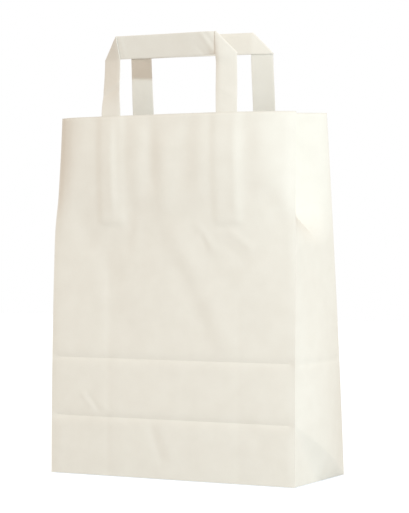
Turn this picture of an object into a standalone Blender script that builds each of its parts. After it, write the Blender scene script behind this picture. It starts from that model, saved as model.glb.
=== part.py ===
"""Paper carrier bag with a block bottom, two side gussets and two folded flat paper handles.

Metres, +Z up. The origin is the middle of the base, the front panel faces -Y and the width runs along X.
Each sheet is made as an open surface, cut along its creases, folded by a function, and then
given its thickness by a Solidify modifier.
"""

import math

import bmesh
import bpy

# Driving dimensions of the sheet that makes the body
WIDTH = 0.250
DEPTH = 0.108
HEIGHT = 0.330
WALL = 0.00035
PLY_STEP = 0.0002

# Clearance between sheets that touch
CLEARANCE = 0.0003

# Mouth: where the four corner edges end, and how far the panels bow out between them
FRONT_CORNER_IN = 0.0110
FRONT_CORNER_CURVE = 2.0
BACK_CORNER_IN = 0.0335
BACK_CORNER_CURVE = 1.08
CORNER_NARROWING = 0.0025
FRONT_BOW = 0.0089
BACK_BOW = -0.0070
FRONT_SWAY = 0.0027
BACK_SWAY = 0.0055
EVEN_BOW_SHARE = 0.25
TURNED_BACK_DEPTH = 0.0065
TURNED_BACK_WIDTH = 0.028
TURNED_BACK_START = 0.205
TURNED_BACK_RISE = 0.105

# Gussets: the inward fold at the mouth and the outward bulge above the base
GUSSET_FOLD_DEPTH = 0.0305
GUSSET_FOLD_START = 0.212
GUSSET_FOLD_RISE = 0.045
GUSSET_BULGE = 0.0075
GUSSET_BULGE_END = 0.200
BASE_RIDGE = 0.0010
BASE_RIDGE_REACH = 0.009

# Creases left by the flat-folded base
CREASE_DEPTH = 0.0011
CREASE_REACH = 0.008
WAVE_DEPTH = 0.0010
WAVE_LENGTH = 0.034
WAVE_START = 0.200
WAVE_RISE = 0.080

# Glue lap down the back panel, and how far the base's outer flap passes the middle
LAP_WIDTH = 0.016
FLAP_OVERLAP = 0.009
PLY_EDGE = 0.0005

# Handles: a folded strip with two legs glued inside its panel
STRIP_WIDTH = 0.0203
STRIP_THICKNESS = 0.0009
LEG_GAP = 0.1008
FRONT_HANDLE_RISE = 0.0715
FRONT_LEG_HOLD = 0.097
BACK_HANDLE_RISE = 0.0770
BACK_LEG_HOLD = 0.0915
BACK_HANDLE_LEAN = 0.0035
EMBOSS = 0.0010
EMBOSS_MARGIN = 0.0012
EMBOSS_SHOULDER = 0.0040

# Mesh spacing
ROW_SPACING = 0.0105
PANEL_COLUMNS = 18
GUSSET_COLUMNS = 8
STRIP_COLUMNS = 4
STRIP_SPACING = 0.010
BEND_STEPS = 6

HALF_WIDTH = WIDTH / 2
HALF_DEPTH = DEPTH / 2
LOW_CREASE = DEPTH / 2
HIGH_CREASE = DEPTH
FOLD_RADIUS = (STRIP_THICKNESS + CLEARANCE) / 2
NEAR = 0.00001


# Small helpers

def clamp(value, low=0.0, high=1.0):
    return max(low, min(high, value))


def smooth(value):
    value = clamp(value)
    return value * value * (3 - 2 * value)


def tent(distance, reach):
    return max(0.0, 1 - abs(distance) / reach)


# Where the four corner edges stand at each height

def corner_x(z):
    return HALF_WIDTH - CORNER_NARROWING * (z / HEIGHT) ** 2


def front_corner_y(z):
    return -HALF_DEPTH + FRONT_CORNER_IN * (z / HEIGHT) ** FRONT_CORNER_CURVE


def back_corner_y(z):
    return HALF_DEPTH - BACK_CORNER_IN * (z / HEIGHT) ** BACK_CORNER_CURVE


# The two panels, as the outward bow of a point at x and z

def leg_distance(x, z, leg_hold):
    """Distance outside the rectangle that a leg covers on its panel, zero inside it."""
    along = abs(x) - LEG_GAP / 2 - STRIP_WIDTH / 2
    beside = abs(along) - STRIP_WIDTH / 2
    below = HEIGHT - leg_hold - z
    return max(0.0, beside, below)


def leg_emboss(x, z, leg_hold):
    outside = leg_distance(x, z, leg_hold) - EMBOSS_MARGIN
    return EMBOSS * (1 - smooth(outside / EMBOSS_SHOULDER))


def mouth_share(z):
    """How much of the mouth's shape a height has: none on the box below, all at the rim."""
    return smooth((z - TURNED_BACK_START) / TURNED_BACK_RISE)


def turned_back(x, z):
    """How far the middle stands proud of the strips beside the corner edges, turned back at the mouth."""
    width = TURNED_BACK_WIDTH * mouth_share(z)
    reach = abs(x) - (HALF_WIDTH - width)
    return TURNED_BACK_DEPTH * (mouth_share(z) - max(0.0, reach) / TURNED_BACK_WIDTH)


def waves(x, z):
    """Soft upright waves between the legs, dying out down the panel."""
    from_leg = LEG_GAP / 2 - EMBOSS_SHOULDER - EMBOSS_MARGIN - abs(x)
    share = smooth(2 * from_leg / WAVE_LENGTH) * smooth((z - WAVE_START) / WAVE_RISE)
    return WAVE_DEPTH * math.cos(2 * math.pi * x / WAVE_LENGTH) * share


def panel_bow(x, z, bow, sway):
    """A bow between the corner edges, and a sway that turns the middle of the panel to one side."""
    across = 1 - (x / HALF_WIDTH) ** 2
    aside = math.sin(math.pi * x / HALF_WIDTH)
    rising = smooth((z - HIGH_CREASE) / (HEIGHT - HIGH_CREASE))
    share = EVEN_BOW_SHARE * z / HEIGHT + (1 - EVEN_BOW_SHARE) * rising
    return (bow * across + sway * aside) * share


def creases(z):
    return CREASE_DEPTH * (tent(z - LOW_CREASE, CREASE_REACH) + tent(z - HIGH_CREASE, CREASE_REACH))


def front_bowed_y(x, z):
    """The front panel without the marks of its handle."""
    edge = smooth((HALF_WIDTH - abs(x)) / CREASE_REACH)
    outwards = panel_bow(x, z, FRONT_BOW, FRONT_SWAY) + turned_back(x, z)
    return front_corner_y(z) - outwards + creases(z) * edge


def back_bowed_y(x, z):
    """The back panel without the marks of its handle and its glue lap."""
    return back_corner_y(z) + panel_bow(x, z, BACK_BOW, BACK_SWAY)


def front_y(x, z):
    """Outer face of the front panel."""
    return front_bowed_y(x, z) - waves(x, z) - leg_emboss(x, z, FRONT_LEG_HOLD)


def lap_ply(x):
    """The glue lap lies one ply proud of the back panel, beside its left edge."""
    return PLY_STEP * (1 - clamp((x + HALF_WIDTH - LAP_WIDTH) / PLY_EDGE))


def back_y(x, z):
    """Outer face of the back panel."""
    return back_bowed_y(x, z) + lap_ply(x) + leg_emboss(x, z, BACK_LEG_HOLD)


# The gussets, as the outward move of a point from the flat side

def gusset_offset(y, z):
    """y is the point's place across the flat gusset, from -HALF_DEPTH to HALF_DEPTH."""
    from_front = y + HALF_DEPTH
    share = from_front / DEPTH
    round_across = math.sin(math.pi * share)
    fold_line = max(NEAR, LOW_CREASE * (1 - share))
    rise = min(1.0, z / fold_line)
    fall = 1 - smooth((z - LOW_CREASE) / (GUSSET_BULGE_END - LOW_CREASE))
    bulge = GUSSET_BULGE * round_across * rise * fall
    ridge_distance = (z + from_front - LOW_CREASE) / math.sqrt(2)
    ridge = BASE_RIDGE * tent(ridge_distance, BASE_RIDGE_REACH) * clamp(z / BASE_RIDGE_REACH)
    ridge *= clamp(from_front / BASE_RIDGE_REACH)
    crease = -CREASE_DEPTH * tent(z - HIGH_CREASE, CREASE_REACH) * round_across
    folded_in = smooth((z - GUSSET_FOLD_START) / GUSSET_FOLD_RISE)
    fold = -GUSSET_FOLD_DEPTH * folded_in * tent(y, HALF_DEPTH)
    return bulge + ridge + crease + fold


def base_z(x, y):
    """Height of a point of the base: the outer flap lowest, then the inner flap, then the end tucks."""
    outer = min(y + FLAP_OVERLAP, (HALF_WIDTH - HALF_DEPTH + y - abs(x)) / math.sqrt(2))
    inner = (HALF_WIDTH - HALF_DEPTH - y - abs(x)) / math.sqrt(2)
    off_outer = clamp(-outer / PLY_EDGE)
    off_inner = clamp(-inner / PLY_EDGE)
    return PLY_STEP * off_outer * (1 + off_inner)


def folded_point(x, y, z):
    """Move a point of the plain box to its place on the folded bag."""
    on_side = abs(abs(x) - HALF_WIDTH) < NEAR
    on_front = abs(y + HALF_DEPTH) < NEAR
    on_back = abs(y - HALF_DEPTH) < NEAR
    stretch = corner_x(z) / HALF_WIDTH
    if z < NEAR:
        return x, y, base_z(x, y)
    if on_side:
        share = (y + HALF_DEPTH) / DEPTH
        new_y = front_corner_y(z) * (1 - share) + back_corner_y(z) * share
        if on_front:
            new_y = front_y(x, z)
        if on_back:
            new_y = back_y(x, z)
        out = corner_x(z) + (0.0 if on_front or on_back else gusset_offset(y, z))
        return math.copysign(out, x), new_y, z
    if on_front:
        return x * stretch, front_y(x * stretch, z), z
    return x * stretch, back_y(x * stretch, z), z


# Sheet tools

def cut(bm, faces, point, normal):
    """Cut a set of faces along a plane, and leave the rest of the sheet whole."""
    geometry = set(faces)
    for face in faces:
        geometry.update(face.edges)
        geometry.update(face.verts)
    bmesh.ops.bisect_plane(bm, geom=list(geometry), dist=NEAR, plane_co=point, plane_no=normal)


def faces_where(bm, test):
    return [face for face in bm.faces if test(face.calc_center_median())]


def sheet_material(name, colour, roughness):
    material = bpy.data.materials.new(name)
    material.use_nodes = True
    shader = material.node_tree.nodes["Principled BSDF"]
    shader.inputs["Base Color"].default_value = (*colour, 1)
    shader.inputs["Roughness"].default_value = roughness
    shader.inputs["Metallic"].default_value = 0
    return material


def sheet_object(bm, name, collection, material, thickness, offset):
    bmesh.ops.triangulate(bm, faces=bm.faces[:])
    mesh = bpy.data.meshes.new(name)
    bm.to_mesh(mesh)
    bm.free()
    mesh.shade_smooth()
    mesh.set_sharp_from_angle(angle=math.radians(25))
    mesh.materials.append(material)
    piece = bpy.data.objects.new(name, mesh)
    collection.objects.link(piece)
    solidify = piece.modifiers.new("paper_thickness", "SOLIDIFY")
    solidify.thickness = thickness
    solidify.offset = offset
    solidify.use_even_offset = True
    solidify.use_rim = True
    return piece


# Body

def row_heights():
    """Heights of the cuts across the walls, with a row on each crease and at each feature's edge."""
    marks = [0.0, HEIGHT]
    for crease in (LOW_CREASE, HIGH_CREASE):
        marks += [crease - CREASE_REACH, crease, crease + CREASE_REACH]
    for leg_hold in (FRONT_LEG_HOLD, BACK_LEG_HOLD):
        leg_end = HEIGHT - leg_hold - EMBOSS_MARGIN
        marks += [leg_end - EMBOSS_SHOULDER, leg_end]
    marks.sort()
    rows = []
    for low, high in zip(marks, marks[1:]):
        count = max(1, round((high - low) / ROW_SPACING))
        rows += [low + (high - low) * step / count for step in range(count)]
    return rows[1:]


def panel_columns():
    """Cuts along a panel: even ones, and one at each side of the two embossed bands."""
    even = [-HALF_WIDTH + WIDTH * step / PANEL_COLUMNS for step in range(1, PANEL_COLUMNS)]
    bands = []
    for side in (-1, 1):
        inner = LEG_GAP / 2 - EMBOSS_MARGIN
        outer = LEG_GAP / 2 + STRIP_WIDTH + EMBOSS_MARGIN
        edges = (inner - EMBOSS_SHOULDER, inner, (inner + outer) / 2, outer, outer + EMBOSS_SHOULDER)
        bands += [side * edge for edge in edges]
    clear = EMBOSS_SHOULDER
    kept = [x for x in even if all(abs(x - band) > clear for band in bands)]
    return kept + bands


def bag_body(collection):
    bm = bmesh.new()
    bmesh.ops.create_cube(bm, size=1)
    bmesh.ops.scale(bm, vec=(WIDTH, DEPTH, HEIGHT), verts=bm.verts)
    bmesh.ops.translate(bm, vec=(0, 0, HEIGHT / 2), verts=bm.verts)
    top = faces_where(bm, lambda c: c.z > HEIGHT - NEAR)
    bmesh.ops.delete(bm, geom=top, context="FACES")

    for z in row_heights():
        cut(bm, faces_where(bm, lambda c: c.z > NEAR), (0, 0, z), (0, 0, 1))
    for x in panel_columns():
        cut(bm, faces_where(bm, lambda c: c.y < NEAR - HALF_DEPTH), (x, 0, 0), (1, 0, 0))
    lap_edge = -HALF_WIDTH + LAP_WIDTH
    for x in panel_columns() + [lap_edge, lap_edge + PLY_EDGE]:
        cut(bm, faces_where(bm, lambda c: c.y > HALF_DEPTH - NEAR), (x, 0, 0), (1, 0, 0))
    gusset = lambda c: abs(c.x) > HALF_WIDTH - NEAR
    for step in range(1, GUSSET_COLUMNS):
        cut(bm, faces_where(bm, gusset), (0, -HALF_DEPTH + DEPTH * step / GUSSET_COLUMNS, 0), (0, 1, 0))
    low_gusset = lambda c: gusset(c) and c.z < LOW_CREASE
    for beside in (-BASE_RIDGE_REACH, 0, BASE_RIDGE_REACH):
        on_line = (0, -HALF_DEPTH, LOW_CREASE + beside * math.sqrt(2))
        cut(bm, faces_where(bm, low_gusset), on_line, (0, 1, 1))
    cut(bm, faces_where(bm, low_gusset), (0, -HALF_DEPTH, LOW_CREASE), (0, 1, 2))

    base = lambda c: c.z < NEAR
    for edge in (0, PLY_EDGE):
        cut(bm, faces_where(bm, base), (0, -FLAP_OVERLAP - edge, 0), (0, 1, 0))
        for side in (-1, 1):
            for end in (-1, 1):
                corner = (side * (HALF_WIDTH + edge * math.sqrt(2)), end * HALF_DEPTH, 0)
                cut(bm, faces_where(bm, base), corner, (side, -end, 0))

    for vert in bm.verts:
        vert.co = folded_point(*vert.co)
    bmesh.ops.recalc_face_normals(bm, faces=bm.faces[:])
    paper = sheet_material("white_paper", (0.90, 0.87, 0.80), 0.75)
    return sheet_object(bm, "bag_body", collection, paper, WALL, -1)


# Handles

def fold_over(point, fold_x, top, side):
    """Fold a point of the flat strip over the 45 degree line that starts at fold_x on the top edge.

    The part beyond the line turns half round a small radius, so that the leg lies outside the strip.
    Returns the folded x and z, and how far the point has moved outwards.
    """
    across = side * point.x - fold_x
    beyond = (across + point.z - top) / math.sqrt(2)
    start = -math.pi * FOLD_RADIUS / 2
    turn = (beyond - start) / FOLD_RADIUS
    if turn <= 0:
        return point.x, point.z, 0.0
    if turn < math.pi:
        reach = start + FOLD_RADIUS * math.sin(turn)
        outwards = FOLD_RADIUS * (1 - math.cos(turn))
    else:
        reach = start - (beyond - start - math.pi * FOLD_RADIUS)
        outwards = 2 * FOLD_RADIUS
    back = (beyond - reach) / math.sqrt(2)
    return point.x - side * back, point.z - back, outwards


def handle(name, collection, bowed_panel, outward, rise, leg_hold, material, lean=0.0):
    """One strip, folded twice, whose legs lie inside the panel and against it.

    Above the rim the strip carries on straight up, or leans over the bag.
    """
    top = HEIGHT + rise
    half_gap = LEG_GAP / 2
    half_length = half_gap + rise + leg_hold
    columns = round(2 * half_length / STRIP_SPACING)
    bm = bmesh.new()
    bmesh.ops.create_grid(bm, x_segments=columns, y_segments=STRIP_COLUMNS, size=0.5)
    bmesh.ops.scale(bm, vec=(2 * half_length, STRIP_WIDTH, 1), verts=bm.verts)
    for vert in bm.verts:
        vert.co = (vert.co.x, 0, top - STRIP_WIDTH / 2 + vert.co.y)
    for side in (-1, 1):
        for step in range(BEND_STEPS + 1):
            beyond = (step / BEND_STEPS - 0.5) * math.pi * FOLD_RADIUS
            on_line = (side * (half_gap + beyond * math.sqrt(2)), 0, top)
            cut(bm, bm.faces[:], on_line, (side, 0, 1))
    seat = WALL + CLEARANCE + STRIP_THICKNESS / 2
    for vert in bm.verts:
        side = 1 if vert.co.x > 0 else -1
        x, z, outwards = fold_over(vert.co, half_gap, top, side)
        leaning = lean * max(0.0, z - HEIGHT) / rise
        inwards = seat + 2 * FOLD_RADIUS - outwards + leaning - EMBOSS
        vert.co = (x, bowed_panel(x, min(z, HEIGHT)) - outward * inwards, z)
    bmesh.ops.recalc_face_normals(bm, faces=bm.faces[:])
    return sheet_object(bm, name, collection, material, STRIP_THICKNESS, 0)


def build():
    for item in list(bpy.data.objects):
        bpy.data.objects.remove(item, do_unlink=True)
    collection = bpy.data.collections.new("paper_carrier_bag")
    bpy.context.scene.collection.children.link(collection)
    bag_body(collection)
    front_paper = sheet_material("front_handle_paper", (0.89, 0.86, 0.79), 0.7)
    back_paper = sheet_material("back_handle_paper", (0.89, 0.86, 0.79), 0.7)
    handle("front_handle", collection, front_bowed_y, -1,
           FRONT_HANDLE_RISE, FRONT_LEG_HOLD, front_paper)
    handle("back_handle", collection, back_bowed_y, 1,
           BACK_HANDLE_RISE, BACK_LEG_HOLD, back_paper, BACK_HANDLE_LEAN)


build()
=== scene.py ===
# %% [markdown]
# # A white paper carrier bag
# The object is folded from plain bleached kraft paper: one glued sheet for the body, and one folded
# strip for each handle. Everything a viewer notices is a fold, a crease or a soft wave, so most of
# this lesson is about bending a sheet by rule. The frame, made beforehand, gives the true size of
# each piece. The looks are built round it and never resize it.

import math

import bmesh
import bpy
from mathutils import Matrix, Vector, noise


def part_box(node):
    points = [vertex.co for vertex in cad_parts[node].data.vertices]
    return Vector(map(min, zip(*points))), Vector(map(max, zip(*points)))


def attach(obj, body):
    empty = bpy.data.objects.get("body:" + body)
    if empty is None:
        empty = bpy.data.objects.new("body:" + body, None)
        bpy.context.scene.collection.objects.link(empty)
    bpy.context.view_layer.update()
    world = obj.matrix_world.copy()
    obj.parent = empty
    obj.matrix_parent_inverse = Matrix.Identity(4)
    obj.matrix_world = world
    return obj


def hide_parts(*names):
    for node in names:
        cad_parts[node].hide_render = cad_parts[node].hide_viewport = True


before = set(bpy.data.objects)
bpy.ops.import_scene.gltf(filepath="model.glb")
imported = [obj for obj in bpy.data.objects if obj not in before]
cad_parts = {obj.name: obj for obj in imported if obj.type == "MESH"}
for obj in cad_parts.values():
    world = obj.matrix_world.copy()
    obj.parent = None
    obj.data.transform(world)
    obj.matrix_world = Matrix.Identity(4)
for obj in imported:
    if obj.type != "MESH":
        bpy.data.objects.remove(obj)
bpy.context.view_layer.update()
print("frame nodes:", sorted(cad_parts))

# %% [markdown]
# ## Sizes of the sheet
# The height is read from the frame's box. Where a crease lies is what tells a folded bag from a
# box: a bag that was packed flat is creased at half its depth and at its full depth above the base.
# All lengths are in metres.

# %% Sizes of the sheet
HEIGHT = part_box("bag_body")[1][2]
WIDTH = 0.250
DEPTH = 0.108
HALF_WIDTH = WIDTH / 2
HALF_DEPTH = DEPTH / 2
LOW_CREASE = DEPTH / 2
HIGH_CREASE = DEPTH
PAPER = 0.00030
PLY_STEP = 0.0002
PLY_EDGE = 0.0012
DIAGONAL = math.sqrt(2)
print("bag", WIDTH, "by", DEPTH, "by", round(HEIGHT, 4), "creased at", LOW_CREASE, HIGH_CREASE)

# %% [markdown]
# ## Camera
# The photograph was taken through a long lens, level with the bag and from 28 degrees to the right
# of its front. The numbers come from fitting a box to the bag's corners and creases. The lens
# length follows from the longer side of the picture.

# %% Camera
CAMERA_AZIMUTH = 27.57
CAMERA_ELEVATION = 0.61
CAMERA_DISTANCE = 1.789
CAMERA_AIM = Vector((0.0081, 0, 0.2013))
PICTURE_HEIGHT = 513
FOCAL_PIXELS = 1934.6
SENSOR_WIDTH = 36


def aim(thing, place, target):
    """Put a camera or a lamp at a place and turn it so that it looks at the target."""
    thing.location = place
    thing.rotation_euler = (Vector(target) - Vector(place)).to_track_quat("-Z", "Y").to_euler()


def around(azimuth, elevation, distance, target):
    """A place at a compass angle from the front and at a height angle, seen from the target."""
    turn = math.radians(azimuth)
    rise = math.radians(elevation)
    level = math.cos(rise)
    way = Vector((math.sin(turn) * level, -math.cos(turn) * level, math.sin(rise)))
    return Vector(target) + way * distance


camera_data = bpy.data.cameras.new("camera")
camera_data.sensor_width = SENSOR_WIDTH
camera_data.lens = FOCAL_PIXELS / PICTURE_HEIGHT * SENSOR_WIDTH
camera = bpy.data.objects.new("camera", camera_data)
bpy.context.scene.collection.objects.link(camera)
aim(camera, around(CAMERA_AZIMUTH, CAMERA_ELEVATION, CAMERA_DISTANCE, CAMERA_AIM), CAMERA_AIM)
bpy.context.scene.camera = camera
print("lens", round(camera_data.lens, 1), "mm")

# %% [markdown]
# ## Light
# A low lamp on the right rakes across the front panel: paper is nearly flat, and only a raking
# light shows its waves. It is small enough to throw the front handle's shadow on the back one.
# It is cool, and the room that fills the shade is warm. The camera itself sees the room as white.

# %% Key lamp
KEY_AZIMUTH = 54
KEY_ELEVATION = 12
KEY_DISTANCE = 2.6
KEY_POWER = 29
KEY_SIZE = 0.10
KEY_COLOUR = (0.74, 0.92, 1.0)
LAMP_AIM = Vector((0, 0, 0.17))

scene = bpy.context.scene
scene.view_settings.view_transform = "Standard"
key_data = bpy.data.lights.new("key_lamp", "AREA")
key_data.shape = "DISK"
key_data.size = KEY_SIZE
key_data.energy = KEY_POWER
key_data.color = KEY_COLOUR
key_lamp = bpy.data.objects.new("key_lamp", key_data)
scene.collection.objects.link(key_lamp)
aim(key_lamp, around(KEY_AZIMUTH, KEY_ELEVATION, KEY_DISTANCE, LAMP_AIM), LAMP_AIM)
print("key lamp at", [round(value, 2) for value in key_lamp.location])

# %% The room
ROOM_LIGHT = (1.0, 0.885, 0.765, 1)
ROOM_STRENGTH = 0.85
SEEN_WHITE = (1, 1, 1, 1)
SEEN_STRENGTH = 1.0

world = bpy.data.worlds.new("white_room")
scene.world = world
world.use_nodes = True
world_nodes = world.node_tree.nodes
world_links = world.node_tree.links
room_light = world_nodes["Background"]
room_light.inputs["Color"].default_value = ROOM_LIGHT
room_light.inputs["Strength"].default_value = ROOM_STRENGTH
room_seen = world_nodes.new("ShaderNodeBackground")
room_seen.inputs["Color"].default_value = SEEN_WHITE
room_seen.inputs["Strength"].default_value = SEEN_STRENGTH
light_path = world_nodes.new("ShaderNodeLightPath")
choose = world_nodes.new("ShaderNodeMixShader")
world_links.new(light_path.outputs["Is Camera Ray"], choose.inputs["Fac"])
world_links.new(room_light.outputs[0], choose.inputs[1])
world_links.new(room_seen.outputs[0], choose.inputs[2])
world_links.new(choose.outputs[0], world_nodes["World Output"].inputs["Surface"])
print("room strength", ROOM_STRENGTH)

# %% [markdown]
# ## Floor
# The floor is grey paint with a glow that only the camera sees. So it looks white, still keeps the
# bag's shadow, and doesn't light the paper from below more than a pale table would. It lies a hair
# under the base, because two faces at one height would fight.

# %% Floor
FLOOR_SIZE = 3.0
FLOOR_DROP = 0.0002
FLOOR_GREY = (0.60, 0.60, 0.60, 1)
FLOOR_ROUGHNESS = 0.9
GLOW_COLOUR = (0.85, 0.93, 1.0, 1)
FLOOR_GLOW = 0.74

floor_mesh = bpy.data.meshes.new("floor")
floor_shape = bmesh.new()
bmesh.ops.create_grid(floor_shape, x_segments=8, y_segments=8, size=FLOOR_SIZE)
bmesh.ops.translate(floor_shape, vec=(0, 0, -FLOOR_DROP), verts=floor_shape.verts)
floor_shape.to_mesh(floor_mesh)
floor_shape.free()
floor = bpy.data.objects.new("floor", floor_mesh)
scene.collection.objects.link(floor)
floor_paint = bpy.data.materials.new("pale_floor")
floor_paint.use_nodes = True
floor_nodes = floor_paint.node_tree.nodes
floor_links = floor_paint.node_tree.links
floor_shader = floor_nodes["Principled BSDF"]
floor_shader.inputs["Base Color"].default_value = FLOOR_GREY
floor_shader.inputs["Roughness"].default_value = FLOOR_ROUGHNESS
floor_shader.inputs["Emission Color"].default_value = GLOW_COLOUR
floor_path = floor_nodes.new("ShaderNodeLightPath")
glow = floor_nodes.new("ShaderNodeMath")
glow.operation = "MULTIPLY"
glow.inputs[1].default_value = FLOOR_GLOW
floor_links.new(floor_path.outputs["Is Camera Ray"], glow.inputs[0])
floor_links.new(glow.outputs[0], floor_shader.inputs["Emission Strength"])
floor_mesh.materials.append(floor_paint)
print("floor faces:", len(floor_mesh.polygons))

# %% [markdown]
# ## The rule of the folded sheet
# Each wall is a flat rectangle that a function bends. A few small shapes do all of it: `tent` has
# straight sides, `cusp` is a sharp crest whose flanks ease out, and `bell` is a round one. `smooth`
# and `step` go from 0 to 1 with an easy start and end.

# %% Small shapes of one variable
def clamp(value, low=0.0, high=1.0):
    """The value, held between two limits."""
    return max(low, min(high, value))


def smooth(value):
    """From 0 to 1 with an easy start and end."""
    value = clamp(value)
    return value * value * (3 - 2 * value)


def step(value, reach):
    """A smooth step from 0 to 1, centred on zero."""
    return smooth(value / reach + 0.5)


def tent(distance, reach):
    """A crest with straight sides."""
    return max(0.0, 1 - abs(distance) / reach)


def cusp(distance, reach):
    """A sharp crest with flanks that ease out."""
    return math.exp(-abs(distance) / reach)


def bell(distance, reach):
    """A round crest."""
    return math.exp(-(distance / reach) ** 2)


print("tent, cusp and bell at their reach:", tent(1, 1), round(cusp(1, 1), 3), round(bell(1, 1), 3))

# %% [markdown]
# ## The bag's main shape
# This is the frame's shape too. The four corner edges lean in towards the mouth, the back ones
# further. The panels bow between them, and beside each front corner a strip of the panel is turned
# back at the mouth.

# %% Corner edges
CORNER_NARROWING = 0.0025
FRONT_CORNER_IN = 0.0110
FRONT_CORNER_CURVE = 2.0
BACK_CORNER_IN = 0.0335
BACK_CORNER_CURVE = 1.08


def corner_x(z):
    """Half the bag's width at a height."""
    return HALF_WIDTH - CORNER_NARROWING * (z / HEIGHT) ** 2


def front_corner_y(z):
    return -HALF_DEPTH + FRONT_CORNER_IN * (z / HEIGHT) ** FRONT_CORNER_CURVE


def back_corner_y(z):
    return HALF_DEPTH - BACK_CORNER_IN * (z / HEIGHT) ** BACK_CORNER_CURVE


print("corners at the rim:", round(front_corner_y(HEIGHT), 4), round(back_corner_y(HEIGHT), 4))

# %% Bow of the panels
FRONT_BOW = 0.0089
FRONT_SWAY = 0.0027
BACK_BOW = -0.0070
BACK_SWAY = 0.0055
EVEN_BOW_SHARE = 0.25
TURNED_BACK_WIDTH = 0.028
TURNED_BACK_DEPTH = 0.0065
TURNED_BACK_START = 0.205
TURNED_BACK_RISE = 0.105
TURNED_BACK_EASE = 0.009


def panel_bow(x, z, bow, sway):
    """A bow between the corners, and a sway that turns the middle to one side."""
    across = 1 - (x / HALF_WIDTH) ** 2
    aside = math.sin(math.pi * x / HALF_WIDTH)
    above_creases = smooth((z - HIGH_CREASE) / (HEIGHT - HIGH_CREASE))
    share = EVEN_BOW_SHARE * z / HEIGHT + (1 - EVEN_BOW_SHARE) * above_creases
    return (bow * across + sway * aside) * share


def mouth_share(z):
    """How much of the mouth's own shape a height has taken on."""
    return smooth((z - TURNED_BACK_START) / TURNED_BACK_RISE)


def eased_ramp(reach, ease):
    """Zero, then a straight slope, with a round bend between them."""
    if reach >= ease:
        return reach
    return max(0.0, reach + ease) ** 2 / (4 * ease)


def turned_back(x, z):
    """How far the middle stands proud of the strips beside the corners at the mouth."""
    share = mouth_share(z)
    reach = abs(x) - (HALF_WIDTH - TURNED_BACK_WIDTH * share)
    return TURNED_BACK_DEPTH * (share - eased_ramp(reach, TURNED_BACK_EASE) / TURNED_BACK_WIDTH)


print("turned back by", round(turned_back(0, HEIGHT) - turned_back(HALF_WIDTH, HEIGHT), 4))

# %% [markdown]
# ## Front corner edges near the mouth
# These are looks that the frame leaves out. The crease at each front corner opens and rounds near
# the mouth, and the left corner curls back a little more than the right one.

# %% Rounded and curled corner edges
CORNER_ROUND = 0.0012
CORNER_ROUND_REACH = 0.010
LEFT_CURL = 0.0030
LEFT_CURL_REACH = 0.022


def corner_round(beside, z):
    """How far a point beside a front corner edge is drawn in, full from half the mouth's rise."""
    return CORNER_ROUND * smooth(mouth_share(z) * 2) * smooth(1 - beside / CORNER_ROUND_REACH)


def left_curl(x, z):
    beside = (-x - HALF_WIDTH + LEFT_CURL_REACH) / LEFT_CURL_REACH
    return LEFT_CURL * mouth_share(z) * smooth(beside)


def front_bowed_y(x, z):
    bowed = front_corner_y(z) - panel_bow(x, z, FRONT_BOW, FRONT_SWAY) - turned_back(x, z)
    return bowed + left_curl(x, z)


def back_bowed_y(x, z):
    return back_corner_y(z) + panel_bow(x, z, BACK_BOW, BACK_SWAY)


panel_middles = [bowed_y(0, HEIGHT) for bowed_y in (front_bowed_y, back_bowed_y)]
print("panel middles at the rim:", [round(middle, 4) for middle in panel_middles])

# %% [markdown]
# ## Marks of use on the front panel
# A few long soft folds carry the look: the waves between the handle's legs, a diagonal fold down
# the right, and small kinks at the creases. Each is a line with a width and a height, so it is one
# row of a list.

# %% Long soft folds of the front panel
# Each row: start x and z, end x and z, width and height in millimetres; height above zero is proud
FRONT_FOLDS = [
    (-54, 325, -51, 236, 5.0, -0.55),
    (-59, 330, -58, 236, 3.0, 0.35),
    (-62, 330, -61, 238, 10.0, 0.90),
    (-31, 325, -34, 250, 9.0, 0.80),
    (-18, 330, -17, 262, 7.0, -0.80),
    (-2, 310, -4, 240, 9.0, 0.85),
    (22, 330, 17, 262, 9.0, -0.95),
    (80, 330, 82, 250, 8.0, -0.60),
    (68, 330, 68, 236, 3.0, 0.30),
    (36, 330, 34, 250, 6.0, 0.30),
    (-38, 268, -44, 205, 7.0, -0.50),
    (-33, 240, -36, 205, 6.0, 0.30),
    (-96, 255, -84, 205, 12.0, -0.45),
    (-100, 250, -66, 170, 14.0, -0.45),
    (-84, 215, -66, 150, 10.0, 0.50),
    (-70, 225, -50, 120, 15.0, -0.90),
    (2, 232, 30, 175, 11.0, 0.80),
    (30, 175, 58, 118, 12.0, 0.75),
    (4, 200, 44, 124, 12.0, -0.70),
    (28, 232, 48, 206, 4.0, 0.60),
    (32, 226, 38, 210, 2.5, -0.35),
    (60, 226, 84, 208, 3.5, 0.50),
    (52, 216, 80, 194, 5.0, -0.35),
    (40, 204, 66, 168, 7.0, -0.25),
    (70, 160, 96, 112, 12.0, -0.25),
    (96, 262, 118, 224, 9.0, -0.55),
    (-21, 52, -6, 12, 5.0, -0.50),
    (-10, 52, 6, 14, 6.0, 0.25),
    (74, 53, 96, 34, 6.0, -0.30),
    (-112, 52, -114, 22, 7.0, 0.45),
    (-92, 76, -80, 62, 2.2, 0.45),
    (-86, 74, -72, 57, 2.4, -0.45),
    (-70, 66, -62, 56, 2.0, 0.30),
    (-12, 8, -6, 2, 3.0, 0.35),
]
FADE_SPEED = 3
SHARE_AT_END = 0.35


def end_fade(share):
    """A fold's ends fade out over about a third of its length."""
    return smooth(share * FADE_SPEED + SHARE_AT_END)


def along_fold(x, z, fold):
    """Height of one soft fold at a point, with its two ends faded out."""
    x0, z0, x1, z1, width, height = (value / 1000 for value in fold)
    run_x, run_z = x1 - x0, z1 - z0
    length = math.hypot(run_x, run_z)
    share = ((x - x0) * run_x + (z - z0) * run_z) / length ** 2
    across = ((x - x0) * run_z - (z - z0) * run_x) / length
    fade = end_fade(share) * end_fade(1 - share)
    return height * bell(across, width) * fade


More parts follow.
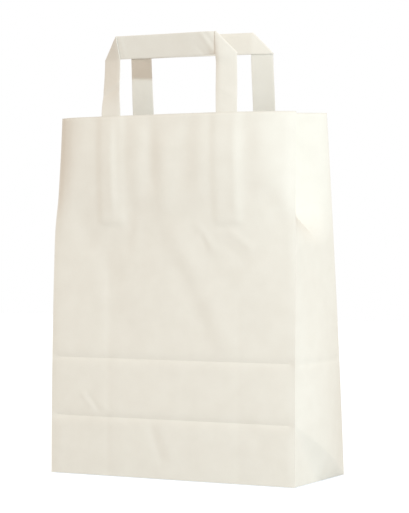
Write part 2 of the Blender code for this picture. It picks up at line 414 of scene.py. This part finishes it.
def folds_at(x, z, folds):
    return sum(along_fold(x, z, fold) for fold in folds)


print(len(FRONT_FOLDS), "soft folds on the front panel")

# %% [markdown]
# ## Bands over the glued legs
# The handles' legs are glued inside the panels and push a band of paper out. A band has soft flanks
# and a crisper edge at the leg's foot. The legs' reach is read from the frame.

# %% Bands over the glued legs
STRIP_WIDTH = 0.0203
LEG_GAP = 0.1008
FRONT_LEG_END, FRONT_TOP = (corner[2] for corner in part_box("front_handle"))
BACK_LEG_END, BACK_TOP = (corner[2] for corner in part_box("back_handle"))
LEG_MIDDLE = (LEG_GAP + STRIP_WIDTH) / 2
BAND_HEIGHT = 0.0010
BAND_MARGIN = 0.0025
BAND_FLANK = 0.009
FOOT_MARGIN = 0.0015
FOOT_FLANK = 0.006


def leg_band(x, z, leg_end):
    """How far the two bands over a handle's legs stand out."""
    beside = abs(abs(x) - LEG_MIDDLE)
    across = step(STRIP_WIDTH / 2 + BAND_MARGIN - beside, BAND_FLANK)
    foot = step(z - leg_end + FOOT_MARGIN, FOOT_FLANK)
    return BAND_HEIGHT * across * foot


print("front legs from", round(FRONT_LEG_END, 4), "to", round(FRONT_TOP, 4))

# %% [markdown]
# ## Crumple and creases
# Under the long folds lies a broad uneven tension. The two creases from the flat-packed base are
# deeper in some places than in others, and the gussets' inner edges have left a faint print.

# %% Crumple and creases
BROAD_WIDTH = 0.055
BROAD_LENGTH = 0.080
BROAD_HEIGHT = 0.00045
FINE_WIDTH = 0.020
FINE_LENGTH = 0.034
FINE_HEIGHT = 0.00010
FINE_SEED = 7
CREASE_DEPTH = 0.0013
LOW_CREASE_REACH = 0.0032
HIGH_CREASE_REACH = 0.0030
CREASE_SHARE = 0.92
CREASE_UNEVEN = 0.20
CREASE_NOISE_WIDTH = 0.03
CREASE_NOISE_RISE = 9
CREASE_SEED = 3.0


def crumple(x, z, seed):
    """Broad uneven tension in the sheet, less than half a millimetre high."""
    broad = noise.noise(Vector((x / BROAD_WIDTH, seed, z / BROAD_LENGTH)))
    fine = noise.noise(Vector((x / FINE_WIDTH, seed + FINE_SEED, z / FINE_LENGTH)))
    return BROAD_HEIGHT * broad + FINE_HEIGHT * fine


def base_creases(x, z):
    """Depth of the two creases across a panel."""
    place = Vector((x / CREASE_NOISE_WIDTH, CREASE_SEED, z * CREASE_NOISE_RISE))
    share = CREASE_SHARE + CREASE_UNEVEN * noise.noise(place)
    low = cusp(z - LOW_CREASE, LOW_CREASE_REACH)
    high = cusp(z - HIGH_CREASE, HIGH_CREASE_REACH)
    return CREASE_DEPTH * share * (low + high)


print("low crease depth in the middle:", round(base_creases(0, LOW_CREASE), 5))

# %% The front panel
EDGE_EASE = 0.006
BASE_EASE = 0.02
PRINT_HEIGHT = 0.0004
PRINT_TOP = 0.225
PRINT_EASE = 0.08
LEFT_PRINT_X = -0.064
LEFT_PRINT_REACH = 0.0035
RIGHT_PRINT_X = 0.070
RIGHT_PRINT_REACH = 0.004
RIGHT_PRINT_SHARE = 0.6
FRONT_SEED = 1.0


def off_corners(x):
    """Full on the panel and nothing at its corner edges."""
    return smooth((HALF_WIDTH - abs(x)) / EDGE_EASE)


def off_base(z):
    return smooth(z / BASE_EASE)


def gusset_print(x, z):
    """The print of the gussets' inner edges, where the bag lay flat."""
    fade = smooth((PRINT_TOP - z) / PRINT_EASE)
    left = cusp(x - LEFT_PRINT_X, LEFT_PRINT_REACH)
    right = RIGHT_PRINT_SHARE * cusp(x - RIGHT_PRINT_X, RIGHT_PRINT_REACH)
    return PRINT_HEIGHT * fade * (left + right)


def panel_relief(x, z, folds, seed, leg_end):
    """Soft folds, crumple and bands, faded towards the corner edges and the base."""
    relief = folds_at(x, z, folds) + crumple(x, z, seed) + leg_band(x, z, leg_end)
    return relief * off_corners(x) * off_base(z)


def front_y(x, z):
    relief = panel_relief(x, z, FRONT_FOLDS, FRONT_SEED, FRONT_LEG_END)
    relief = relief - base_creases(x, z) * off_corners(x) - gusset_print(x, z)
    return front_bowed_y(x, z) - relief + corner_round(corner_x(z) - abs(x), z)


print("front panel's middle at the rim:", round(front_y(0, HEIGHT), 4))

# %% [markdown]
# ## The back panel
# The back carries the glue lap, a doubled strip beside its left edge, and fainter folds. Hardly any
# of it shows in the photo, so its folds are guessed.

# %% The back panel
# Rows as on the front panel
BACK_FOLDS = [
    (-58, 322, -56, 238, 6.0, -0.45),
    (50, 325, 46, 236, 6.0, -0.45),
    (-20, 325, -24, 240, 11.0, 0.50),
    (14, 320, 18, 235, 11.0, -0.40),
    (-80, 225, -40, 140, 12.0, -0.50),
    (40, 215, 84, 120, 12.0, 0.45),
    (-10, 190, 20, 120, 12.0, -0.35),
    (60, 52, 84, 12, 6.0, 0.30),
]
BACK_SEED = 5.0
BACK_CREASE_SHARE = 0.4
LAP_WIDTH = 0.016


def lap_ply(x):
    return PLY_STEP * step(-HALF_WIDTH + LAP_WIDTH - x, PLY_EDGE)


def back_y(x, z):
    relief = panel_relief(x, z, BACK_FOLDS, BACK_SEED, BACK_LEG_END)
    soft_creases = BACK_CREASE_SHARE * base_creases(x, z) * off_corners(x)
    return back_bowed_y(x, z) + lap_ply(x) + relief - soft_creases


print("back panel at the rim:", round(back_y(0, HEIGHT), 4), "lap step", lap_ply(-HALF_WIDTH))

# %% [markdown]
# ## The gussets
# A gusset has a pattern of its own. Above the base two lines start where the low crease meets the
# front edge: one runs down to the middle of the base and one to the back of it, and between them
# the wall starts to bulge. At the mouth the gusset folds inwards along its middle. The front half
# of that fold is straight, and the rear half hangs in a curve.

# %% Gussets
GUSSET_BULGE = 0.0075
GUSSET_BULGE_END = 0.200
THINNEST_BAND = 0.0001
RIDGE_HEIGHT = 0.0012
RIDGE_REACH = 0.0025
RIDGE_FADE = 0.008
GUSSET_FOLD_DEPTH = 0.0305
GUSSET_FOLD_START = 0.212
GUSSET_FOLD_RISE = 0.045
REAR_FOLD_CURVE = 1.7
GUSSET_CREASE_DEPTH = 0.0009
GUSSET_CREASE_REACH = 0.0028
GUSSET_SEEDS = {-1: 7.0, 1: 15.0}


def round_across(from_front):
    """Nothing at the gusset's two edges and full in its middle."""
    return math.sin(math.pi * (from_front / DEPTH))


def bulge(from_front, z):
    """The wall swells from the two lines at its foot, and is flat again at GUSSET_BULGE_END."""
    upper_line = LOW_CREASE * (1 - from_front / DEPTH)
    lower_line = max(0.0, LOW_CREASE - from_front)
    rise = clamp((z - lower_line) / max(THINNEST_BAND, upper_line - lower_line))
    fall = 1 - smooth((z - LOW_CREASE) / (GUSSET_BULGE_END - LOW_CREASE))
    return GUSSET_BULGE * round_across(from_front) * rise * fall


def ridge(from_front, z):
    """The crest of the line at 45 degrees, faded at both ends."""
    crest = RIDGE_HEIGHT * cusp((z + from_front - LOW_CREASE) / DIAGONAL, RIDGE_REACH)
    far_end = smooth((LOW_CREASE - from_front + RIDGE_FADE / 2) / RIDGE_FADE)
    return crest * (smooth(z / RIDGE_FADE) * smooth(from_front / RIDGE_FADE) * far_end)


def mouth_fold(y, z):
    """How far the gusset is folded inwards at the mouth."""
    folded_in = smooth((z - GUSSET_FOLD_START) / GUSSET_FOLD_RISE)
    curve = REAR_FOLD_CURVE if y > 0 else 1.0
    return GUSSET_FOLD_DEPTH * folded_in * tent(y, HALF_DEPTH) ** curve


def gusset_out(side, y, z):
    """Outward move of a point of the flat gusset; y runs from -HALF_DEPTH at the front."""
    from_front = y + HALF_DEPTH
    middle = round_across(from_front)
    crease = GUSSET_CREASE_DEPTH * cusp(z - HIGH_CREASE, GUSSET_CREASE_REACH) * smooth(middle * 3)
    soft = crumple(y, z, GUSSET_SEEDS[side]) * smooth(middle * 2) * off_base(z)
    folded = bulge(from_front, z) + ridge(from_front, z) - crease - mouth_fold(y, z)
    return folded + soft - corner_round(from_front, z)


print("gusset's middle at the rim and above the base:",
      round(gusset_out(1, 0, HEIGHT), 4), round(gusset_out(1, 0, LOW_CREASE), 4))

# %% [markdown]
# ## The base
# Seen from below, a block bottom is three layers: two end tucks, an inner flap folded in from the
# front, and an outer flap from the back that laps over the middle. Their edges run at 45 degrees
# from the corners. Each layer is a fine step in the one sheet.

# %% Base layers
FLAP_OVERLAP = 0.009


def base_z(x, y):
    """Height of the base's underside: nothing on the outer flap, and a step up for each layer."""
    outer = min(y + FLAP_OVERLAP, (HALF_WIDTH - HALF_DEPTH + y - abs(x)) / DIAGONAL)
    inner = (HALF_WIDTH - HALF_DEPTH - y - abs(x)) / DIAGONAL
    off_outer = smooth(-outer / PLY_EDGE)
    off_inner = smooth(-inner / PLY_EDGE)
    return PLY_STEP * off_outer * (1 + off_inner)


print("outer flap, inner flap, end tuck:", base_z(0, 0.03), base_z(0, -0.03), base_z(0.12, 0))

# %% [markdown]
# ## The whole sheet
# One function takes a point of a plain box to its place on the bag. A gusset hangs between the
# corner edges of the two panels. The rim was cut a little out of square and rises to the back.

# %% The whole sheet
TINY = 0.00001
BACK_RIM_RISE = 0.0018
RIM_RISE_START = 0.2
CORNER_SHARE_POWER = 30


def rim_rise(z, share):
    """How much higher a point lies than on a square-cut sheet; share is 1 on the back panel."""
    return BACK_RIM_RISE * share * smooth((z - RIM_RISE_START) / (HEIGHT - RIM_RISE_START))


def gusset_place(x, y, z):
    side = 1 if x > 0 else -1
    share = (y + HALF_DEPTH) / DEPTH
    front_edge = front_y(side * corner_x(z), z)
    back_edge = back_y(side * corner_x(z), z)
    out = corner_x(z) + gusset_out(side, y, z)
    return side * out, front_edge * (1 - share) + back_edge * share, z + rim_rise(z, share)


def folded_place(x, y, z):
    """Where a point of the plain box goes on the folded bag."""
    if z < TINY:
        return x, y, base_z(x, y)
    on_front = y < TINY - HALF_DEPTH
    on_back = y > HALF_DEPTH - TINY
    if not on_front and not on_back:
        return gusset_place(x, y, z)
    x = x * corner_x(z) / HALF_WIDTH
    if on_back:
        return x, back_y(x, z), z + rim_rise(z, 1)
    drawn_in = corner_round(corner_x(z) - abs(x), z)
    corner_share = (abs(x) / corner_x(z)) ** CORNER_SHARE_POWER
    return x - math.copysign(drawn_in * corner_share, x), front_y(x, z), z


rim_corner = folded_place(HALF_WIDTH, -HALF_DEPTH, HEIGHT)
print("right front corner at the rim:", [round(value, 4) for value in rim_corner])

# %% [markdown]
# ## Paper as a material
# The effect that both pieces share is the paper's fibre: a mottled tone and a fine felt of bump.
# It is a node group that puts out a colour factor and a height. Each material keeps its own
# shader, because the group only says how the surface varies.

# %% Paper fibre as a node group
CLOUD_SCALE = 55
CLOUD_DETAIL = 4
FELT_DETAIL = 5
FELT_ROUGHNESS = 0.65
HAIR_DETAIL = 2
HAIR_STRETCH = (1.0, 1.0, 0.35)


def make_fibre_group():
    """Clouds for the tone; felt and upright hairs, added up, for the height."""
    group = bpy.data.node_groups.new("paper_fibre", "ShaderNodeTree")
    group.interface.new_socket("Fibre Size", in_out="INPUT", socket_type="NodeSocketFloat")
    group.interface.new_socket("Mottle", in_out="OUTPUT", socket_type="NodeSocketFloat")
    group.interface.new_socket("Height", in_out="OUTPUT", socket_type="NodeSocketFloat")
    nodes, links = group.nodes, group.links
    inside = nodes.new("NodeGroupInput")
    outside = nodes.new("NodeGroupOutput")
    place = nodes.new("ShaderNodeTexCoord")
    cloud = nodes.new("ShaderNodeTexNoise")
    cloud.inputs["Scale"].default_value = CLOUD_SCALE
    cloud.inputs["Detail"].default_value = CLOUD_DETAIL
    felt = nodes.new("ShaderNodeTexNoise")
    felt.inputs["Detail"].default_value = FELT_DETAIL
    felt.inputs["Roughness"].default_value = FELT_ROUGHNESS
    stretch = nodes.new("ShaderNodeMapping")
    stretch.inputs["Scale"].default_value = HAIR_STRETCH
    hairs = nodes.new("ShaderNodeTexNoise")
    hairs.inputs["Detail"].default_value = HAIR_DETAIL
    both = nodes.new("ShaderNodeMath")
    both.operation = "ADD"
    links.new(place.outputs["Object"], cloud.inputs["Vector"])
    links.new(place.outputs["Object"], felt.inputs["Vector"])
    links.new(place.outputs["Object"], stretch.inputs["Vector"])
    links.new(stretch.outputs["Vector"], hairs.inputs["Vector"])
    links.new(inside.outputs["Fibre Size"], felt.inputs["Scale"])
    links.new(inside.outputs["Fibre Size"], hairs.inputs["Scale"])
    links.new(felt.outputs["Fac"], both.inputs[0])
    links.new(hairs.outputs["Fac"], both.inputs[1])
    links.new(cloud.outputs["Fac"], outside.inputs["Mottle"])
    links.new(both.outputs[0], outside.inputs["Height"])
    return group


fibre_group = make_fibre_group()
print("nodes in the fibre group:", len(fibre_group.nodes))

# %% The two papers
FIBRE_SIZE = 900
FIBRE_BUMP = 0.25
BUMP_DISTANCE = 0.0001
SPECULAR_LEVEL = 0.15
BODY_PALE = (0.905, 0.888, 0.840)
BODY_DEEP = (0.885, 0.865, 0.815)
BODY_ROUGHNESS = 0.85
STRIP_PALE = (0.900, 0.880, 0.832)
STRIP_DEEP = (0.880, 0.857, 0.805)
STRIP_ROUGHNESS = 0.80


def paper_material(name, pale, deep, roughness):
    """Bleached kraft paper: matt, slightly warm, with a faint cloudy tone."""
    material = bpy.data.materials.new(name)
    material.use_nodes = True
    nodes, links = material.node_tree.nodes, material.node_tree.links
    shader = nodes["Principled BSDF"]
    fibre = nodes.new("ShaderNodeGroup")
    fibre.node_tree = fibre_group
    fibre.inputs["Fibre Size"].default_value = FIBRE_SIZE
    tone = nodes.new("ShaderNodeValToRGB")
    tone.color_ramp.elements[0].position = 0.35
    tone.color_ramp.elements[0].color = (*deep, 1)
    tone.color_ramp.elements[1].position = 0.65
    tone.color_ramp.elements[1].color = (*pale, 1)
    relief = nodes.new("ShaderNodeBump")
    relief.inputs["Strength"].default_value = FIBRE_BUMP
    relief.inputs["Distance"].default_value = BUMP_DISTANCE
    links.new(fibre.outputs["Mottle"], tone.inputs["Fac"])
    links.new(tone.outputs["Color"], shader.inputs["Base Color"])
    links.new(fibre.outputs["Height"], relief.inputs["Height"])
    links.new(relief.outputs["Normal"], shader.inputs["Normal"])
    shader.inputs["Roughness"].default_value = roughness
    shader.inputs["Specular IOR Level"].default_value = SPECULAR_LEVEL
    return material


body_paper = paper_material("body_paper", BODY_PALE, BODY_DEEP, BODY_ROUGHNESS)
handle_paper = paper_material("strip_paper", STRIP_PALE, STRIP_DEEP, STRIP_ROUGHNESS)
print("papers:", body_paper.name, handle_paper.name)

# %% [markdown]
# ## Folding the body
# The sheet starts as a cube without its top, cut into a fine grid by subdividing its edges one
# direction at a time. The rows are then slid so that both base creases fall on a row, because a
# crease between two rows would be blunt. Last, each point goes to its folded place, and a Solidify
# modifier gives the sheet its thickness inwards.

# %% Cut a box into a grid
COLUMNS_ACROSS = 100
COLUMNS_DEEP = 52
ROWS_TO_CREASE = 24
ROWS_ABOVE = 84
ROWS_IN_ALL = ROWS_TO_CREASE * 2 + ROWS_ABOVE
NEARLY_ALONG = 0.9


def edges_along(shape, axis):
    """Edges that run along one axis of the plain box."""
    chosen = []
    for edge in shape.edges:
        run = edge.verts[1].co - edge.verts[0].co
        if abs(run[axis]) > NEARLY_ALONG * run.length:
            chosen.append(edge)
    return chosen


def open_grid_box():
    """A box with the sheet's sizes, open at the top and cut into columns and rows."""
    shape = bmesh.new()
    bmesh.ops.create_cube(shape, size=1)
    bmesh.ops.scale(shape, vec=(WIDTH, DEPTH, HEIGHT), verts=shape.verts)
    bmesh.ops.translate(shape, vec=(0, 0, HEIGHT / 2), verts=shape.verts)
    top = [face for face in shape.faces if face.normal.z > NEARLY_ALONG]
    bmesh.ops.delete(shape, geom=top, context="FACES_ONLY")
    for axis, pieces in enumerate((COLUMNS_ACROSS, COLUMNS_DEEP, ROWS_IN_ALL)):
        edges = edges_along(shape, axis)
        bmesh.ops.subdivide_edges(shape, edges=edges, cuts=pieces - 1, use_grid_fill=True)
    return shape


def row_height(share):
    """Slide evenly spaced rows so that the two creases each get a row."""
    row = share * ROWS_IN_ALL
    if row <= 2 * ROWS_TO_CREASE:
        return row * LOW_CREASE / ROWS_TO_CREASE
    return HIGH_CREASE + (row - 2 * ROWS_TO_CREASE) * (HEIGHT - HIGH_CREASE) / ROWS_ABOVE


print("rows at the creases:", row_height(ROWS_TO_CREASE / ROWS_IN_ALL), "and", HIGH_CREASE)

# %% Fold the body
BODY_SHARP_ANGLE = 24


def link_piece(name, shape, material, sharp_angle):
    """Turn a bmesh into a smooth-shaded object that keeps its real creases sharp."""
    mesh = bpy.data.meshes.new(name)
    shape.to_mesh(mesh)
    shape.free()
    mesh.shade_smooth()
    mesh.set_sharp_from_angle(angle=math.radians(sharp_angle))
    mesh.materials.append(material)
    piece = bpy.data.objects.new(name, mesh)
    scene.collection.objects.link(piece)
    return piece


body_shape = open_grid_box()
for vert in body_shape.verts:
    x, y, z = vert.co
    vert.co = folded_place(x, y, row_height(z / HEIGHT))
bmesh.ops.recalc_face_normals(body_shape, faces=body_shape.faces[:])
paper_body = link_piece("paper_body", body_shape, body_paper, BODY_SHARP_ANGLE)
thickness = paper_body.modifiers.new("paper_thickness", "SOLIDIFY")
thickness.thickness = PAPER
thickness.offset = -1
thickness.use_even_offset = True
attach(paper_body, "root")
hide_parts("bag_body")
print("body faces:", len(paper_body.data.polygons))

# %% [markdown]
# ## Folding a ribbon
# A handle is one flat ribbon. It is folded over twice along lines at 45 degrees, so each leg comes
# to lie over the strip on the outer side. Folding a point means measuring how far it lies beyond
# the line, rolling it round a small radius, and laying the rest back. Nothing is cut or joined,
# which is how the real strip is made.

# %% Fold a point over a line
FOLD_RADIUS = 0.00015


def fold_over(x, z, fold_x, top, side):
    """Fold a flat point over the 45 degree line; gives x, z and the outward move."""
    beyond = (side * x - fold_x + z - top) / DIAGONAL
    start = -math.pi * FOLD_RADIUS / 2
    turn = (beyond - start) / FOLD_RADIUS
    if turn <= 0:
        return x, z, 0.0
    if turn < math.pi:
        reach = start + FOLD_RADIUS * math.sin(turn)
        outwards = FOLD_RADIUS * (1 - math.cos(turn))
    else:
        reach = start - (beyond - start - math.pi * FOLD_RADIUS)
        outwards = 2 * FOLD_RADIUS
    back = (beyond - reach) / DIAGONAL
    return x - side * back, z - back, outwards


folded_end = fold_over(LEG_GAP, FRONT_TOP, LEG_GAP / 2, FRONT_TOP, 1)
print("a point half a gap beyond the fold goes to", [round(value, 4) for value in folded_end])

# %% [markdown]
# ## Where the handles stand
# The bars face down a little. The front legs turn about their middles, the left one by 12 to 21
# degrees and the right one by a few. A back leg stays on the panel along its right edge, and its
# left edge comes away into the bag from a little below the rim. Further down all legs lie flat
# against their panel. The front handle also has folds of its own.

# %% Turns and folds of the handles
BAR_TILT = math.tan(math.radians(19))
BACK_TILT_SHARE = 0.6
TILT_END_X = 0.056
TILT_END_EASE = 0.016
FREE_ABOVE_RIM = 0.025
LEFT_TURN, LEFT_TURN_RISE = 0.22, 0.17
RIGHT_TURN, RIGHT_TURN_RISE = -0.09, 0.13
FRONT_TURN_REACH = 0.06
BACK_TURN, BACK_LEFT_TURN = 0.17, 0.07
BACK_TURN_REACH = 0.08
BACK_FREE_BELOW_RIM = 0.025
BACK_FREE_EASE = 0.030

# Rows as on the front panel
STRIP_FOLDS = [
    (56, 408, 52, 376, 13.0, 1.70),
    (35, 403, 47, 384, 1.8, 0.35),
    (39, 403, 51, 386, 1.8, -0.45),
    (30, 390, 38, 381, 1.6, -0.30),
    (-72, 347, -50, 356, 2.6, -0.60),
    (-72, 352, -50, 362, 2.2, 0.40),
    (-47, 402, -45, 381, 1.2, 0.35),
    (52, 352, 70, 344, 2.4, 0.35),
]


def leg_turn(x):
    """Distance across from the middle of the nearer leg, carried on evenly along the bar."""
    if abs(x) > LEG_GAP / 2:
        return x - math.copysign(LEG_MIDDLE, x)
    return -x * STRIP_WIDTH / LEG_GAP


def bar_tilt(z, top):
    """The bar faces down a little, and the legs below it ease back to upright at the rim."""
    above_middle = clamp(z - top + STRIP_WIDTH / 2, -STRIP_WIDTH / 2, STRIP_WIDTH / 2)
    return -BAR_TILT * above_middle * smooth((z - HEIGHT) / (top - STRIP_WIDTH - HEIGHT))


def front_wrinkle(x, z, rise):
    """Move of the front handle along y; rise goes from 0 at the rim to 1 at the handle's top."""
    left_share = smooth((TILT_END_X - x) / TILT_END_EASE)
    left_turn = LEFT_TURN + LEFT_TURN_RISE * rise
    right_turn = RIGHT_TURN + RIGHT_TURN_RISE * rise
    on_left = smooth(0.5 - x / FRONT_TURN_REACH)
    on_right = smooth(0.5 + x / FRONT_TURN_REACH)
    turn = left_turn * on_left + right_turn * on_right
    relief = turn * leg_turn(x) + folds_at(x, z, STRIP_FOLDS)
    out_of_bag = smooth((z - HEIGHT) / FREE_ABOVE_RIM)
    return bar_tilt(z, FRONT_TOP) * left_share - relief * out_of_bag


def back_wrinkle(x, z, rise):
    """Each leg stays against the panel along one edge, and its other edge comes away."""
    on_left = smooth(0.5 - x / BACK_TURN_REACH)
    turn = BACK_TURN + BACK_LEFT_TURN * on_left * smooth(1.3 - 2 * rise)
    freed = smooth((z - HEIGHT + BACK_FREE_BELOW_RIM) / BACK_FREE_EASE)
    tilt = BACK_TILT_SHARE * bar_tilt(z, BACK_TOP)
    return turn * (leg_turn(x) - STRIP_WIDTH / 2) * freed - tilt


print("front bar's upper edge comes forward by", round(-bar_tilt(FRONT_TOP, FRONT_TOP), 4))

# %% [markdown]
# ## Folding both handles
# The flat ribbon is cut across each bend before it is folded, so that the bend is round and its
# edges stay straight. It then follows its panel's bow, one wall and one layer of glue further in.
# Along one long edge the ribbon has a ply less, as a folded strip has.

# %% Fold one handle
STRIP_THICKNESS = 0.0009
FRAME_WALL = 0.00035
GLUE = 0.0003
SEAT = FRAME_WALL + GLUE + STRIP_THICKNESS
STRIP_ROWS = 14
STRIP_STEP = 0.0016
BEND_STEPS = 4
CUT_TOLERANCE = 0.000002
FREE_PLY_EDGE = 0.0026
FREE_PLY_STEP = 0.00022
STRIP_SHARP_ANGLE = 30


def flat_ribbon(half_length):
    """A grid as long as the unfolded strip, cut across where the two folds will bend."""
    shape = bmesh.new()
    columns = round(2 * half_length / STRIP_STEP)
    bmesh.ops.create_grid(shape, x_segments=columns, y_segments=STRIP_ROWS, size=0.5)
    bmesh.ops.scale(shape, vec=(2 * half_length, STRIP_WIDTH, 1), verts=shape.verts)
    for side in (-1, 1):
        for bend in range(BEND_STEPS + 1):
            beyond = (bend / BEND_STEPS - 0.5) * math.pi * FOLD_RADIUS
            line = (side * (LEG_GAP / 2 + beyond * DIAGONAL), STRIP_WIDTH / 2, 0)
            bmesh.ops.bisect_plane(
                shape, geom=shape.verts[:] + shape.edges[:] + shape.faces[:],
                dist=CUT_TOLERANCE, plane_co=line, plane_no=(side, 1, 0))
    return shape


def fold_handle(name, bowed_panel, outward, top, leg_end, lean, wrinkle):
    """One handle from a flat ribbon; outward is -1 on the front panel and 1 on the back."""
    shape = flat_ribbon(LEG_GAP / 2 + top - leg_end)
    thin_rows = []
    for vert in shape.verts:
        flat_x, across = vert.co.x, vert.co.y
        if STRIP_WIDTH / 2 - across < FREE_PLY_EDGE:
            thin_rows.append(vert.index)
        side = 1 if flat_x > 0 else -1
        flat_z = top - STRIP_WIDTH / 2 + across
        x, z, outwards = fold_over(flat_x, flat_z, LEG_GAP / 2, top, side)
        rise = max(0.0, z - HEIGHT) / (top - HEIGHT)
        inwards = SEAT + 2 * FOLD_RADIUS - outwards - BAND_HEIGHT + lean * rise
        y = bowed_panel(x, min(z, HEIGHT)) - outward * inwards + wrinkle(x, z, rise)
        vert.co = (x, y, z)
    bmesh.ops.recalc_face_normals(shape, faces=shape.faces[:])
    piece = link_piece(name, shape, handle_paper, STRIP_SHARP_ANGLE)
    ply = piece.vertex_groups.new(name="full_plies")
    ply.add(list(range(len(piece.data.vertices))), 1.0, "REPLACE")
    ply.add(thin_rows, 1 - FREE_PLY_STEP / STRIP_THICKNESS, "REPLACE")
    return piece


unfolded = 2 * (LEG_GAP / 2 + FRONT_TOP - FRONT_LEG_END)
print("unfolded front strip:", round(unfolded, 4), "by", STRIP_WIDTH)

# %% Both handles with their plies
BACK_LEAN = 0.0035
BAR_MIDDLE = 0.02
SOFT_EDGE = 0.00022
SOFT_EDGE_ANGLE = 60


def strip_thickness(piece, outward):
    """Give the ribbon its plies on the side away from its inner face."""
    middle = [face for face in piece.data.polygons if abs(face.center.x) < BAR_MIDDLE]
    faces_out = sum(face.normal.y * outward for face in middle) > 0
    layers = piece.modifiers.new("plies", "SOLIDIFY")
    layers.thickness = STRIP_THICKNESS
    layers.offset = -1 if faces_out else 1
    layers.use_even_offset = True
    layers.vertex_group = "full_plies"
    soften = piece.modifiers.new("folded_edges", "BEVEL")
    soften.width = SOFT_EDGE
    soften.segments = 2
    soften.limit_method = "ANGLE"
    soften.angle_limit = math.radians(SOFT_EDGE_ANGLE)


front_strip = fold_handle(
    "front_strip", front_bowed_y, -1, FRONT_TOP, FRONT_LEG_END, 0.0, front_wrinkle)
back_strip = fold_handle(
    "back_strip", back_bowed_y, 1, BACK_TOP, BACK_LEG_END, BACK_LEAN, back_wrinkle)
for strip, node, outward in ((front_strip, "front_handle", -1), (back_strip, "back_handle", 1)):
    strip_thickness(strip, outward)
    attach(strip, "root")
    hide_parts(node)
print("strip faces:", len(front_strip.data.polygons))
